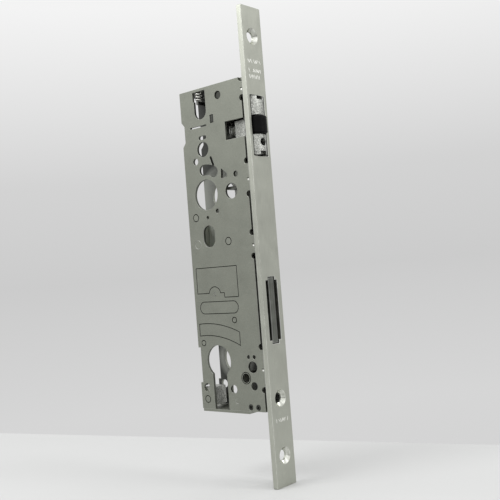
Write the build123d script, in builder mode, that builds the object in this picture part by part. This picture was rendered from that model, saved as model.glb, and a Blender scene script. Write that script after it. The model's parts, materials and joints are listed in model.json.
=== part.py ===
from build123d import *
import os
from math import atan2, degrees, hypot

os.makedirs("parts", exist_ok=True)

# A narrow-stile mortise lock: roller catch above, deadbolt below, euro profile for the cylinder.
# +X points out of the door's edge, +Z up; the origin is the middle of the forend's front face.

# Driving dimensions, mm
FOREND_LENGTH = 256
FOREND_WIDTH = 16
FOREND_THICKNESS = 3
CENTRES = 92  # hub axis above the cylinder axis
BACKSET = 35  # both axes behind the forend's front face
CASE_DEPTH = 50  # front face of the forend to the rear of the case
CASE_WIDTH = 16  # outside both plates
SHEET = 1.5
BOLT_THROW = 20
TUMBLER_DROP = 3
CATCH_TRAVEL = 5
SLIDE_TRAVEL = 7
FOREND_SCREW_SPACING = 223.5
CYLINDER_Z = -61.5  # height of the cylinder axis

FOREND_BACK = -FOREND_THICKNESS
PLATE_FRONT = FOREND_BACK - 1.1  # the case plates stop short of the forend between their tabs
PLATE_REAR = -CASE_DEPTH
INSIDE = CASE_WIDTH / 2 - SHEET  # half the room between the plates
PIN_GAP = 0.04  # radial room round a riveted pin
SLIP = 0.3  # room between pieces that move past each other


def up(height):
    """A height over the cylinder axis, in the part's frame."""
    return CYLINDER_Z + height


def rectangle(left, right, low, high, mode=Mode.ADD):
    """A rectangle from its sides, heights counted from the cylinder axis."""
    with Locations(((left + right) / 2, up((low + high) / 2))):
        Rectangle(right - left, high - low, mode=mode)


def disc(x, height, radius, mode=Mode.ADD):
    """A circle, its height counted from the cylinder axis."""
    with Locations((x, up(height))):
        Circle(radius, mode=mode)


def slot(start, end, width, mode=Mode.ADD):
    """A round-ended slot between the centres of its two end arcs."""
    middle = ((start[0] + end[0]) / 2, up((start[1] + end[1]) / 2))
    run = (end[0] - start[0], end[1] - start[1])
    with Locations(middle):
        SlotCenterToCenter(hypot(*run), width, rotation=degrees(atan2(run[1], run[0])), mode=mode)


def side(y):
    """The plane across the lock at y: sketched in X and Z, and extruded towards +Y by a negative amount."""
    return Plane.XZ.offset(-y)


# Features that both case plates share, heights from the cylinder axis
HUB = (-BACKSET, CENTRES)
HUB_RADIUS = 8.5
HANDLE_HOLE = (-BACKSET, 117.3)
HANDLE_HOLE_RADIUS = 4.2
SIGHT_HOLE = (-16.3, 92)
SIGHT_HOLE_RADIUS = 4.2
PROFILE_RADIUS = 8.75
NECK_WIDTH = 10.4
CASE_TOP = 151.3
CASE_BOTTOM = -28
PLATE_BOTTOM = CASE_BOTTOM + SHEET

# Riveted pins between the plates: place, radius of the end, radius of the body
UPPER_PILLAR = (-21, 145)
REAR_PILLAR = (-44.2, 80)
CENTRE_PILLAR = (-21.2, 65.2)
BOLT_GUIDE = (-21.2, 22.4)
REAR_STOP = (-45.5, 10)
LOWER_SPACER = (-16, -8.8)
BLOCK_PIN_PLACE = (-45.5, -21.2)
BLOCK_SIGHT_HOLE = (-45.5, -14.8)
PILLAR_END = 2.2
PILLAR_BODY = 3
GUIDE_PIN = 1.7
SPACER_OUTSIDE = 3.3
SPACER_BORE = 2.1
BLOCK_PIN = 2.1
BOTTOM_SCREWS = [(-14.2, -24.3), (-9, -24.3)]
SCREW_HEAD = 1.6
SCREW_SHANK = 0.9

SPRING_PLACE = (-37.4, -5.5)  # X and Y of the return spring's upright axis

# Weld tabs that reach the forend, low and high ends
TABS = [(141.8, 149), (90.6, 105), (57.6, 67), (-13.2, 6.3)]
RELIEF = 1.6


def plate_outline(low):
    """The outline of a case plate down to the given height, with its tabs and relief notches."""
    rectangle(PLATE_REAR, PLATE_FRONT, low, CASE_TOP)
    for tab_low, tab_high in TABS:
        rectangle(PLATE_FRONT, FOREND_BACK, tab_low, tab_high)
        for height in (tab_low - RELIEF, tab_high + RELIEF):
            disc(PLATE_FRONT, height, RELIEF, Mode.SUBTRACT)
    with Locations((PLATE_REAR, up(127.5))):
        Trapezoid(14, 2, 40, rotation=-90, align=(Align.CENTER, Align.MIN), mode=Mode.SUBTRACT)
    rectangle(PLATE_REAR, PLATE_REAR + 1.7, -12, 7.5, Mode.SUBTRACT)


def pin_holes(radius_gap):
    """Round holes for the riveted ends of the pins and pillars."""
    for x, height in (UPPER_PILLAR, REAR_PILLAR, CENTRE_PILLAR):
        disc(x, height, PILLAR_END + radius_gap, Mode.SUBTRACT)
    for x, height in (BOLT_GUIDE, REAR_STOP):
        disc(x, height, GUIDE_PIN + radius_gap, Mode.SUBTRACT)
    disc(*BLOCK_PIN_PLACE, BLOCK_PIN + radius_gap, Mode.SUBTRACT)
    disc(*BLOCK_SIGHT_HOLE, 2.3, Mode.SUBTRACT)
    disc(*LOWER_SPACER, SPACER_OUTSIDE + radius_gap, Mode.SUBTRACT)


def cylinder_profile():
    """The euro profile: a circle with a neck that runs out of the plate's lower edge."""
    disc(-BACKSET, 0, PROFILE_RADIUS, Mode.SUBTRACT)
    rectangle(-BACKSET - NECK_WIDTH / 2, -BACKSET + NECK_WIDTH / 2, PLATE_BOTTOM - 0.001, 0, Mode.SUBTRACT)


def through_openings():
    """Openings that line up in both plates."""
    disc(*HUB, HUB_RADIUS, Mode.SUBTRACT)
    disc(*HANDLE_HOLE, HANDLE_HOLE_RADIUS, Mode.SUBTRACT)
    disc(*SIGHT_HOLE, SIGHT_HOLE_RADIUS, Mode.SUBTRACT)


# Forend --------------------------------------------------------------------------------------------------
CATCH_OPENING = (5.8, 108.8, 141.3)  # half width, low, high
BOLT_SLOT = (2.8, 8.8, 44.3)
CHEEK_SLOT = (4.7, 10.7, 42.5)
FOREND_HOLE = 2.8
FOREND_SINK = 4.5
CYLINDER_SCREW_HEIGHT = -20
CYLINDER_SCREW_HOLE = 2.6
SINK_ANGLE = 90


def front_face(height):
    """A place on the forend's front face whose own Z points out of the door, for a countersunk hole."""
    return Location((0, 0, height), (0, 90, 0))


with BuildPart() as forend:
    with BuildSketch(Plane.YZ.offset(FOREND_BACK)):
        RectangleRounded(FOREND_WIDTH, FOREND_LENGTH, 0.8)
        for half_width, low, high in (CATCH_OPENING, BOLT_SLOT, CHEEK_SLOT):
            with Locations((0, up((low + high) / 2))):
                Rectangle(2 * half_width, high - low, mode=Mode.SUBTRACT)
    extrude(amount=FOREND_THICKNESS)
    with Locations(front_face(FOREND_SCREW_SPACING / 2), front_face(-FOREND_SCREW_SPACING / 2)):
        CounterSinkHole(FOREND_HOLE, FOREND_SINK, FOREND_THICKNESS, SINK_ANGLE)
    with Locations(front_face(up(CYLINDER_SCREW_HEIGHT))):
        CounterSinkHole(CYLINDER_SCREW_HOLE, FOREND_SINK, FOREND_THICKNESS, SINK_ANGLE)
    front_edges = forend.faces().sort_by(Axis.X)[-1].outer_wire().edges()
    fillet(front_edges, 0.35)
forend.part.label = "forend"
export_step(forend.part, "parts/forend.step")

# Cover plate ---------------------------------------------------------------------------------------------
STAMP_DEPTH = 0.5
STAMP_WIDTH = 0.4
LUG_THICKNESS = 1.2
FLANGE_DEPTH = 3
BLOCK_OUTLINE = [
    (-30, 37.3), (-27.3, 37.3), (-27.1, 34.8), (-16.7, 34.8), (-16.7, 51.9), (-47.5, 51.9), (-47.5, 37.3),
    (-38.3, 37.3),
]
BAND_CENTRE = (-42, -40)
hub_arc = CenterArc((0, 0), 13.8, 60, 33)  # middle line of the curved slot over the hub

with BuildPart() as cover_plate:
    with BuildSketch(side(-INSIDE)):
        plate_outline(PLATE_BOTTOM)
        cylinder_profile()
        through_openings()
        pin_holes(PIN_GAP)
        # Window onto the slide's lug and spring: flat above, round below
        disc(-34.85, 138.5, 4.35, Mode.SUBTRACT)
        rectangle(-39.2, -30.5, 138.5, 149.8, Mode.SUBTRACT)
        rectangle(-40, -39.2, 144.5, 149.8, Mode.SUBTRACT)
        # Keyhole slot for the lug of the catch bracket, and the two slits below it
        rectangle(-28, -25.5, 130.8, 135.3, Mode.SUBTRACT)
        slot((-43.05, 130.2), (-31.45, 130.2), 0.9, Mode.SUBTRACT)
        slot((-36.45, 123.8), (-32.85, 123.8), 2.1, Mode.SUBTRACT)
        # Catch window, open to the forend side
        rectangle(-17.3, PLATE_FRONT, 119.6, 129.6, Mode.SUBTRACT)
        # Small holes between the catch and the hub
        disc(-41.2, 111.2, 1.9, Mode.SUBTRACT)
        disc(-12.3, 100.7, 1.6, Mode.SUBTRACT)
        slot((-29.6, 112), (-28, 107.5), 1.5, Mode.SUBTRACT)
        disc(-27.5, 82.3, 1.3, Mode.SUBTRACT)
        disc(-35.2, 79.3, 1, Mode.SUBTRACT)
        with Locations((HUB[0], up(HUB[1]))):
            SlotArc(hub_arc, 6, mode=Mode.SUBTRACT)
        # Opening beside the lanced tab
        with Locations((0, up(0))):
            Polygon((-23, 99.6), (-18.6, 100), (-18.6, 102), (-22.6, 105), align=None, mode=Mode.SUBTRACT)
        slot((-35.05, 67.25), (-35.05, 70.75), 8.5, Mode.SUBTRACT)
        # Two fine holes, three plain holes, and clearance for the bottom screws
        disc(-13.2, 2.5, 1.05, Mode.SUBTRACT)
        disc(-9.3, 2.5, 1.05, Mode.SUBTRACT)
        disc(-10.8, -2.9, 3.1, Mode.SUBTRACT)
        disc(-25.4, -15.1, 2.3, Mode.SUBTRACT)
        disc(-10.6, -13, 2.2, Mode.SUBTRACT)
        for x, height in BOTTOM_SCREWS:
            disc(x, height, SCREW_HEAD + PIN_GAP, Mode.SUBTRACT)
    extrude(amount=SHEET)
    # Half-sheared outlines over the bolt: block, stadium, curved band and a faint ring
    with BuildSketch(side(-INSIDE - SHEET)):
        with BuildLine():
            Polyline([(x, up(height)) for x, height in BLOCK_OUTLINE])
            ThreePointArc((-38.3, up(37.3)), (-34.1, up(40.8)), (-30, up(37.3)))
        make_face()
        offset(amount=-STAMP_WIDTH, kind=Kind.INTERSECTION, mode=Mode.SUBTRACT)
    extrude(amount=-STAMP_DEPTH, mode=Mode.SUBTRACT)
    with BuildSketch(side(-INSIDE - SHEET)):
        slot((-42.8, 29.5), (-21, 29.5), 7)
        slot((-42.8, 29.5), (-21, 29.5), 7 - 2 * STAMP_WIDTH, Mode.SUBTRACT)
    extrude(amount=-STAMP_DEPTH, mode=Mode.SUBTRACT)
    with BuildSketch(side(-INSIDE - SHEET)):
        disc(*BAND_CENTRE, 61)
        disc(*BAND_CENTRE, 54, Mode.SUBTRACT)
        rectangle(-48, -18, 0, 30, Mode.INTERSECT)
        offset(amount=-STAMP_WIDTH, kind=Kind.INTERSECTION, mode=Mode.SUBTRACT)
    extrude(amount=-STAMP_DEPTH, mode=Mode.SUBTRACT)
    with BuildSketch(side(-INSIDE - SHEET)):
        disc(-44, 65, 2.4)
        disc(-44, 65, 2.2, Mode.SUBTRACT)
        disc(-23.5, -21.5, 1.4)
        disc(-34.3, 37, 1)
        disc(-34.3, 37, 0.8, Mode.SUBTRACT)
    extrude(amount=-0.15, mode=Mode.SUBTRACT)
    # Short flange turned inwards behind the rear recess
    with BuildSketch(side(-INSIDE)):
        rectangle(PLATE_REAR + 0.1, PLATE_REAR + 0.1 + LUG_THICKNESS, -14, 9.5)
    extrude(amount=-FLANGE_DEPTH)
cover_plate.part.label = "cover_plate"
export_step(cover_plate.part, "parts/cover_plate.step")

# Case body: the far plate with its folded top and bottom walls and rear lug -----------------------------
REAR_LUG = (53.2, 78.8)

with BuildPart() as case_body:
    with BuildSketch(side(INSIDE)):
        plate_outline(PLATE_BOTTOM)
        cylinder_profile()
        through_openings()
        pin_holes(PIN_GAP)
    extrude(amount=-SHEET)
    with BuildSketch(side(INSIDE)):
        rectangle(PLATE_REAR + 0.5, PLATE_FRONT, CASE_TOP - SHEET, CASE_TOP)
    extrude(amount=2 * INSIDE)
    # Two slots in the top wall: the end loop of the return spring goes round the bridge between them
    with BuildSketch(Plane.XY.offset(up(CASE_TOP))):
        with Locations(SPRING_PLACE):
            with GridLocations(3.2, 0, 2, 1):
                Rectangle(2.2, 1.6)
    extrude(amount=-SHEET, mode=Mode.SUBTRACT)
    with BuildSketch(side(CASE_WIDTH / 2)):
        with Locations((0, up(0))):
            Polygon(
                (PLATE_REAR + 0.5, CASE_BOTTOM), (-15.5, CASE_BOTTOM), (-13.8, PLATE_BOTTOM),
                (PLATE_REAR + 0.5, PLATE_BOTTOM), align=None,
            )
    extrude(amount=CASE_WIDTH)
    with BuildSketch(side(CASE_WIDTH / 2)):
        rectangle(PLATE_REAR, PLATE_REAR + LUG_THICKNESS, *REAR_LUG)
    extrude(amount=SHEET + 2 * INSIDE)
case_body.part.label = "case_body"
export_step(case_body.part, "parts/case_body.step")


# Riveted pins and pillars --------------------------------------------------------------------------------
def riveted_pin(name, place, end_radius, body_radius, recess=0):
    """A pin through both plates, thicker between them where its body radius says so."""
    with BuildPart() as pin:
        with BuildSketch(side(CASE_WIDTH / 2)):
            disc(*place, end_radius)
        extrude(amount=CASE_WIDTH - recess)
        with BuildSketch(side(INSIDE)):
            disc(*place, body_radius)
        extrude(amount=2 * INSIDE)
    pin.part.label = name
    export_step(pin.part, f"parts/{name}.step")


riveted_pin("upper_pillar", UPPER_PILLAR, PILLAR_END, PILLAR_BODY, recess=0.6)
riveted_pin("rear_pillar", REAR_PILLAR, PILLAR_END, PILLAR_BODY)
riveted_pin("centre_pillar", CENTRE_PILLAR, PILLAR_END, PILLAR_BODY)
riveted_pin("bolt_guide_pin", BOLT_GUIDE, GUIDE_PIN, GUIDE_PIN)
riveted_pin("rear_stop_pin", REAR_STOP, GUIDE_PIN, GUIDE_PIN)
riveted_pin("block_pin", BLOCK_PIN_PLACE, BLOCK_PIN, BLOCK_PIN)

with BuildPart() as lower_spacer:
    with BuildSketch(side(CASE_WIDTH / 2)):
        disc(*LOWER_SPACER, SPACER_OUTSIDE)
        disc(*LOWER_SPACER, SPACER_BORE, Mode.SUBTRACT)
    extrude(amount=CASE_WIDTH)
lower_spacer.part.label = "lower_spacer"
export_step(lower_spacer.part, "parts/lower_spacer.step")

# Blocks at the foot of the case --------------------------------------------------------------------------
BLOCK_FAR = 2.6  # far face of the cylinder block

with BuildPart() as cylinder_block:
    with BuildSketch(side(BLOCK_FAR)):
        rectangle(-48.4, -40.9, -24.6, -14.6)
        disc(*BLOCK_PIN_PLACE, BLOCK_PIN + PIN_GAP, Mode.SUBTRACT)
    extrude(amount=INSIDE + BLOCK_FAR)
    chamfer(cylinder_block.edges().filter_by(Axis.Z), 0.5)
cylinder_block.part.label = "cylinder_block"
export_step(cylinder_block.part, "parts/cylinder_block.step")

with BuildPart() as bottom_block:
    with BuildSketch(side(INSIDE)):
        rectangle(-17, -5.5, PLATE_BOTTOM, -22.9)
        for x, height in BOTTOM_SCREWS:
            disc(x, height, SCREW_SHANK + PIN_GAP, Mode.SUBTRACT)
    extrude(amount=2 * INSIDE)
bottom_block.part.label = "bottom_block"
export_step(bottom_block.part, "parts/bottom_block.step")

RECESS_WIDTH = 0.45
RECESS_LENGTH = 1.9
RECESS_DEPTH = 0.8

with BuildPart() as bottom_screws:
    with BuildSketch(side(-INSIDE)):
        for x, height in BOTTOM_SCREWS:
            disc(x, height, SCREW_HEAD)
    extrude(amount=SHEET)
    with BuildSketch(side(-INSIDE)):
        for x, height in BOTTOM_SCREWS:
            disc(x, height, SCREW_SHANK)
    extrude(amount=-8)
    with BuildSketch(side(-CASE_WIDTH / 2)):
        for x, height in BOTTOM_SCREWS:
            with Locations((x, up(height))):
                Rectangle(RECESS_LENGTH, RECESS_WIDTH, rotation=35)
                Rectangle(RECESS_WIDTH, RECESS_LENGTH, rotation=35)
    extrude(amount=-RECESS_DEPTH, mode=Mode.SUBTRACT)
bottom_screws.part.label = "bottom_screws"
export_step(bottom_screws.part, "parts/bottom_screws.step")

# Deadbolt: a thick centre plate between two cheeks, joined by rivets -------------------------------------
BOLT_HALF = 2.35
CHEEK = 2
BOLT_FRONT = -0.3
BOLT_TAIL = -47.3
BOLT_LOW = 9.1
BOLT_HIGH = 44
CHEEK_HIGH = 40.9
GATE_FLOOR = 41.1
GATE_HALF = 2.1
STUB_X = -24  # the tumbler's stub, which stands in a gate at either end of the throw
BOLT_RIVETS = [(-9.5, 16.5), (-9.5, 37), (-27, 34)]
BOLT_RIVET = 1.5


def bolt_slot():
    """The slot that rides on the bolt guide pin."""
    x, height = BOLT_GUIDE
    slot((x - BOLT_THROW, height), (x, height), 2 * (GUIDE_PIN + SLIP), Mode.SUBTRACT)


with BuildPart() as deadbolt:
    with BuildSketch(side(BOLT_HALF)):
        with Locations((0, up(0))):
            Polygon(
                (BOLT_FRONT, BOLT_LOW), (BOLT_FRONT, BOLT_HIGH), (BOLT_TAIL, BOLT_HIGH), (BOLT_TAIL, 16.5),
                (-39, 16.5), (-39, 10), (-17, 10), (-17, BOLT_LOW), align=None,
            )
        for gate in (STUB_X, STUB_X - BOLT_THROW):
            rectangle(gate - GATE_HALF, gate + GATE_HALF, GATE_FLOOR, BOLT_HIGH, Mode.SUBTRACT)
        bolt_slot()
        for x, height in BOLT_RIVETS:
            disc(x, height, BOLT_RIVET + PIN_GAP, Mode.SUBTRACT)
    extrude(amount=2 * BOLT_HALF)
    chamfer(deadbolt.faces().sort_by(Axis.X)[-1].edges(), 0.25)
deadbolt.part.label = "deadbolt"
export_step(deadbolt.part, "parts/deadbolt.step")


def bolt_cheek(name, far_face):
    """A side plate of the bolt, which stays inside the forend until the bolt is thrown."""
    with BuildPart() as cheek:
        with BuildSketch(side(far_face)):
            rectangle(-30, -5.3, 12.5, CHEEK_HIGH)
            bolt_slot()
            for x, height in BOLT_RIVETS:
                disc(x, height, BOLT_RIVET + PIN_GAP, Mode.SUBTRACT)
        extrude(amount=CHEEK)
    cheek.part.label = name
    export_step(cheek.part, f"parts/{name}.step")


bolt_cheek("near_bolt_cheek", -BOLT_HALF)
bolt_cheek("far_bolt_cheek", BOLT_HALF + CHEEK)

with BuildPart() as bolt_rivets:
    with BuildSketch(side(BOLT_HALF + CHEEK)):
        for x, height in BOLT_RIVETS:
            disc(x, height, BOLT_RIVET)
    extrude(amount=2 * (BOLT_HALF + CHEEK))
bolt_rivets.part.label = "bolt_rivets"
export_step(bolt_rivets.part, "parts/bolt_rivets.step")

# Tumbler: slides down into a gate of the bolt, lifted by the cylinder's cam ------------------------------
TUMBLER_FACE = -4.8
TUMBLER_SHEET = 1.2
STUB_HALF = 1.6
STUB_LOW = 44.4
STUB_HIGH = 50
GUIDE_STUD = 1.6
TUMBLER_STUDS = [(-34.3, 37), (-34.3, 49)]

with BuildPart() as tumbler:
    with BuildSketch(side(TUMBLER_FACE)):
        with Locations((0, up(0))):
            Polygon(
                (-43.5, 18), (-40.5, 15.2), (-29.5, 15.2), (-26.5, 18), (-26.5, 40),
                (STUB_X + STUB_HALF, STUB_LOW), (STUB_X + STUB_HALF, STUB_HIGH), (-27, 57), (-43.5, 57),
                align=None,
            )
        for x, height in TUMBLER_STUDS:
            slot((x, height), (x, height + TUMBLER_DROP), 2 * (GUIDE_STUD + SLIP), Mode.SUBTRACT)
    extrude(amount=TUMBLER_SHEET)
    with BuildSketch(side(TUMBLER_FACE)):
        rectangle(STUB_X - STUB_HALF, STUB_X + STUB_HALF, STUB_LOW, STUB_HIGH)
    extrude(amount=TUMBLER_FACE - BOLT_HALF)
tumbler.part.label = "tumbler"
export_step(tumbler.part, "parts/tumbler.step")

with BuildPart() as tumbler_guides:
    with BuildSketch(side(-INSIDE)):
        for x, height in TUMBLER_STUDS:
            disc(x, height, GUIDE_STUD)
    extrude(amount=-1.8)
tumbler_guides.part.label = "tumbler_guides"
export_step(tumbler_guides.part, "parts/tumbler_guides.step")

SEAT_LOW = 60.2
SPRING_Y = -1.3

with BuildPart() as tumbler_spring_seat:
    with BuildSketch(side(INSIDE)):
        rectangle(-28.5, -19.5, SEAT_LOW, SEAT_LOW + 1.5)
    extrude(amount=INSIDE + 4.4)
tumbler_spring_seat.part.label = "tumbler_spring_seat"
export_step(tumbler_spring_seat.part, "parts/tumbler_spring_seat.step")

with BuildPart() as tumbler_spring:
    with BuildSketch(Plane.XY.offset(up(STUB_HIGH + 0.1))):
        with Locations((STUB_X, SPRING_Y)):
            Circle(2.1)
            Circle(1.4, mode=Mode.SUBTRACT)
    extrude(amount=SEAT_LOW - STUB_HIGH - 0.2)
tumbler_spring.part.label = "tumbler_spring"
export_step(tumbler_spring.part, "parts/tumbler_spring.step")

# Roller catch: a cast holder with two ears, its roller between them --------------------------------------
CATCH_LOW = 109.3
CATCH_HIGH = 140.8
CATCH_HALF = 5
CATCH_NOSE = 2.35
CATCH_REAR = -13.4
CATCH_BODY_REAR = -7
CATCH_REAR_HALF = 4.4
ROLLER_X = -0.8
ROLLER_RADIUS = 5
ROLLER_LOW = 120.6
ROLLER_HIGH = 130.2
ROLLER_PIN = 1.5
ROLLER_PIN_ENDS = (118.7, 133)
ADJUSTER_HEIGHT = 116.1
ADJUSTER_HOLE = 2.1
STEM_HEIGHT = 125
STEM_RADIUS = 3
STEM_END = -30
COLLAR_FRONT = -17.4
COLLAR_REAR = -18.4
DRIVE_PIN = 1.25
DRIVE_X = -15.4


with BuildPart() as catch_holder:
    with BuildSketch(Plane.XY.offset(up(CATCH_LOW))):
        with BuildLine():
            ThreePointArc((-0.4, -CATCH_HALF), (CATCH_NOSE, 0), (-0.4, CATCH_HALF))
            Polyline(
                (-0.4, CATCH_HALF), (-4, CATCH_HALF), (-4, CATCH_REAR_HALF),
                (CATCH_BODY_REAR, CATCH_REAR_HALF), (CATCH_BODY_REAR, -CATCH_REAR_HALF),
                (-4, -CATCH_REAR_HALF), (-4, -CATCH_HALF), (-0.4, -CATCH_HALF),
            )
        make_face()
    extrude(amount=CATCH_HIGH - CATCH_LOW)
    # Neck, stem and collar behind the nose
    with BuildSketch(Plane.XY.offset(up(118))):
        with Locations((CATCH_REAR, 0)):
            Rectangle(CATCH_BODY_REAR - CATCH_REAR, 2 * CATCH_REAR_HALF, align=(Align.MIN, Align.CENTER))
    extrude(amount=11.4)
    with BuildSketch(Plane.YZ.offset(STEM_END)):
        with Locations((0, up(STEM_HEIGHT))):
            Circle(STEM_RADIUS)
    extrude(amount=CATCH_REAR - STEM_END)
    with BuildSketch(Plane.YZ.offset(COLLAR_REAR)):
        with Locations((0, up(STEM_HEIGHT))):
            Circle(CATCH_REAR_HALF)
    extrude(amount=COLLAR_FRONT - COLLAR_REAR)
    # Roller gap between the ears
    with BuildSketch(Plane.XY.offset(up(ROLLER_LOW - SLIP))):
        with Locations((ROLLER_X - ROLLER_RADIUS - 0.5, 0)):
            Rectangle(12, 12, align=(Align.MIN, Align.CENTER))
    extrude(amount=ROLLER_HIGH - ROLLER_LOW + 2 * SLIP, mode=Mode.SUBTRACT)
    # Notches in the ends of the nose
    with BuildSketch(Plane.XY.offset(up(CATCH_LOW)), Plane.XY.offset(up(CATCH_HIGH - 1.9))):
        with Locations((-1.2, 0)):
            Rectangle(5, 4.5, align=(Align.MIN, Align.CENTER))
    extrude(amount=1.9, mode=Mode.SUBTRACT)
    # Adjusting screw hole, roller pin hole and drive pin hole
    with BuildSketch(Plane.YZ.offset(CATCH_REAR)):
        with Locations((0, up(ADJUSTER_HEIGHT))):
            Circle(ADJUSTER_HOLE)
    extrude(amount=CATCH_NOSE - CATCH_REAR + 1, mode=Mode.SUBTRACT)
    with BuildSketch(Plane.XY.offset(up(ROLLER_PIN_ENDS[0]))):
        with Locations((ROLLER_X, 0)):
            Circle(ROLLER_PIN + PIN_GAP)
    extrude(amount=ROLLER_PIN_ENDS[1] - ROLLER_PIN_ENDS[0], mode=Mode.SUBTRACT)
    with BuildSketch(side(STEM_RADIUS + 1)):
        disc(DRIVE_X, STEM_HEIGHT, DRIVE_PIN + PIN_GAP)
    extrude(amount=2 * STEM_RADIUS + 2, mode=Mode.SUBTRACT)
catch_holder.part.label = "catch_holder"
export_step(catch_holder.part, "parts/catch_holder.step")

with BuildPart() as catch_roller:
    with BuildSketch(Plane.XY.offset(up(ROLLER_LOW))):
        with Locations((ROLLER_X, 0)):
            Circle(ROLLER_RADIUS)
            Circle(ROLLER_PIN + 0.08, mode=Mode.SUBTRACT)
    extrude(amount=ROLLER_HIGH - ROLLER_LOW)
    rims = catch_roller.edges().filter_by(GeomType.CIRCLE).sort_by(SortBy.RADIUS)[-2:]
    fillet(rims, 1.1)
catch_roller.part.label = "catch_roller"
export_step(catch_roller.part, "parts/catch_roller.step")

with BuildPart() as roller_pin:
    with BuildSketch(Plane.XY.offset(up(ROLLER_PIN_ENDS[0]))):
        with Locations((ROLLER_X, 0)):
            Circle(ROLLER_PIN)
    extrude(amount=ROLLER_PIN_ENDS[1] - ROLLER_PIN_ENDS[0])
roller_pin.part.label = "roller_pin"
export_step(roller_pin.part, "parts/roller_pin.step")

with BuildPart() as adjusting_screw:
    with BuildSketch(Plane.YZ.offset(CATCH_BODY_REAR + 0.2)):
        with Locations((0, up(ADJUSTER_HEIGHT))):
            Circle(ADJUSTER_HOLE - 0.1)
    extrude(amount=4)
    with BuildSketch(Plane.YZ.offset(-2.8)):
        with Locations((0, up(ADJUSTER_HEIGHT))):
            Rectangle(0.7, 4.2)
    extrude(amount=-0.9, mode=Mode.SUBTRACT)
adjusting_screw.part.label = "adjusting_screw"
export_step(adjusting_screw.part, "parts/adjusting_screw.step")

with BuildPart() as catch_drive_pin:
    with BuildSketch(side(6.1)):
        disc(DRIVE_X, STEM_HEIGHT, DRIVE_PIN)
    extrude(amount=6.1 + STEM_RADIUS)
catch_drive_pin.part.label = "catch_drive_pin"
export_step(catch_drive_pin.part, "parts/catch_drive_pin.step")

BRACKET_FRONT = -26.2
BRACKET_REAR = -28

with BuildPart() as catch_bracket:
    with BuildSketch(Plane.XY.offset(up(118))):
        with BuildLine():
            Polyline(
                (BRACKET_REAR, 4.4), (BRACKET_FRONT, 4.4), (BRACKET_FRONT, -5.3), (-21.5, -5.3),
                (-21.5, -INSIDE), (BRACKET_REAR, -INSIDE), close=True,
            )
        make_face()
    extrude(amount=18)
    with BuildSketch(Plane.XY.offset(up(131.3))):
        with Locations(((BRACKET_FRONT + BRACKET_REAR) / 2, -INSIDE)):
            Rectangle(1.6, 1.2, align=(Align.CENTER, Align.MAX))
    extrude(amount=3.5)
    with BuildSketch(Plane.YZ.offset(BRACKET_REAR)):
        with Locations((0, up(STEM_HEIGHT))):
            Circle(STEM_RADIUS + 0.2)
    extrude(amount=BRACKET_FRONT - BRACKET_REAR, mode=Mode.SUBTRACT)
catch_bracket.part.label = "catch_bracket"
export_step(catch_bracket.part, "parts/catch_bracket.step")

with BuildPart() as catch_spring:
    with BuildSketch(Plane.YZ.offset(BRACKET_FRONT + 0.1)):
        with Locations((0, up(STEM_HEIGHT))):
            Circle(4)
            Circle(STEM_RADIUS + 0.2, mode=Mode.SUBTRACT)
    extrude(amount=COLLAR_REAR - BRACKET_FRONT - 0.2)
catch_spring.part.label = "catch_spring"
export_step(catch_spring.part, "parts/catch_spring.step")

# Draw slide: the cylinder's cam pulls it down, and its slanted slot pulls the catch back -----------------
SLIDE_FAR = 6
SLIDE_SHEET = 1.2
SLIDE_STUDS = [(-14, 60), (-14, 107)]
SLIDE_STUD = 1.2

with BuildPart() as draw_slide:
    with BuildSketch(side(SLIDE_FAR)):
        with Locations((0, up(0))):
            Polygon(
                (-24.5, 4.5), (-11.5, 4.5), (-11.5, 99.5), (-9.9, 101.5), (-9.9, 138.5), (-11.4, 140),
                (-24.5, 140), (-26, 138.5), (-26, 135.5), (-35.4, 135.5), (-35.4, 144.6), (-38.6, 144.6),
                (-38.6, 131), (-26, 131), (-26, 104), (-22.5, 101),
                (-22.5, 93.2), (-16.5, 93.2), (-16.5, 8), (-24.5, 8), align=None,
            )
        for x, height in SLIDE_STUDS:
            slot((x, height), (x, height + SLIDE_TRAVEL), 2 * (SLIDE_STUD + SLIP), Mode.SUBTRACT)
        drive_end = (DRIVE_X - CATCH_TRAVEL, STEM_HEIGHT + SLIDE_TRAVEL)
        slot((DRIVE_X, STEM_HEIGHT), drive_end, 2 * DRIVE_PIN + 0.7, Mode.SUBTRACT)
    extrude(amount=SLIDE_SHEET)
    # Finger that stands in the window under the spring
    with BuildSketch(side(SLIDE_FAR)):
        rectangle(-37.9, -36.5, 142.7, 144.6)
    extrude(amount=SLIDE_FAR + 7.4)
    # Stiffening flange bent towards the cover
    with BuildSketch(side(SLIDE_FAR)):
        rectangle(-22.5, -13, 93.2, 94.7)
    extrude(amount=SLIDE_FAR + 5.2)
    # Foot that the cam pushes
    with BuildSketch(side(SLIDE_FAR)):
        rectangle(-24.5, -20.5, 4.5, 6.2)
    extrude(amount=SLIDE_FAR + 3)
draw_slide.part.label = "draw_slide"
export_step(draw_slide.part, "parts/draw_slide.step")

with BuildPart() as slide_guides:
    with BuildSketch(side(INSIDE)):
        for x, height in SLIDE_STUDS:
            disc(x, height, SLIDE_STUD)
    extrude(amount=1.9)
slide_guides.part.label = "slide_guides"
export_step(slide_guides.part, "parts/slide_guides.step")

SPRING_LOW = 144.9
SPRING_HIGH = 149.6

with BuildPart() as return_spring:
    with BuildSketch(Plane.XY.offset(up(SPRING_LOW))):
        with Locations(SPRING_PLACE):
            Circle(2.2)
            Circle(1.3, mode=Mode.SUBTRACT)
    extrude(amount=SPRING_HIGH - SPRING_LOW)
return_spring.part.label = "return_spring"
export_step(return_spring.part, "parts/return_spring.step")
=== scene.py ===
"""The looks of a narrow-stile mortise lock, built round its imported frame.

Every size is in millimetres until it meets Blender, which works in metres. Heights are counted from the
axis of the profile cylinder, as a locksmith measures them.
"""
import json
import logging
import math
from collections.abc import Callable
from dataclasses import dataclass, field, replace
from enum import Enum
from functools import cache

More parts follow.
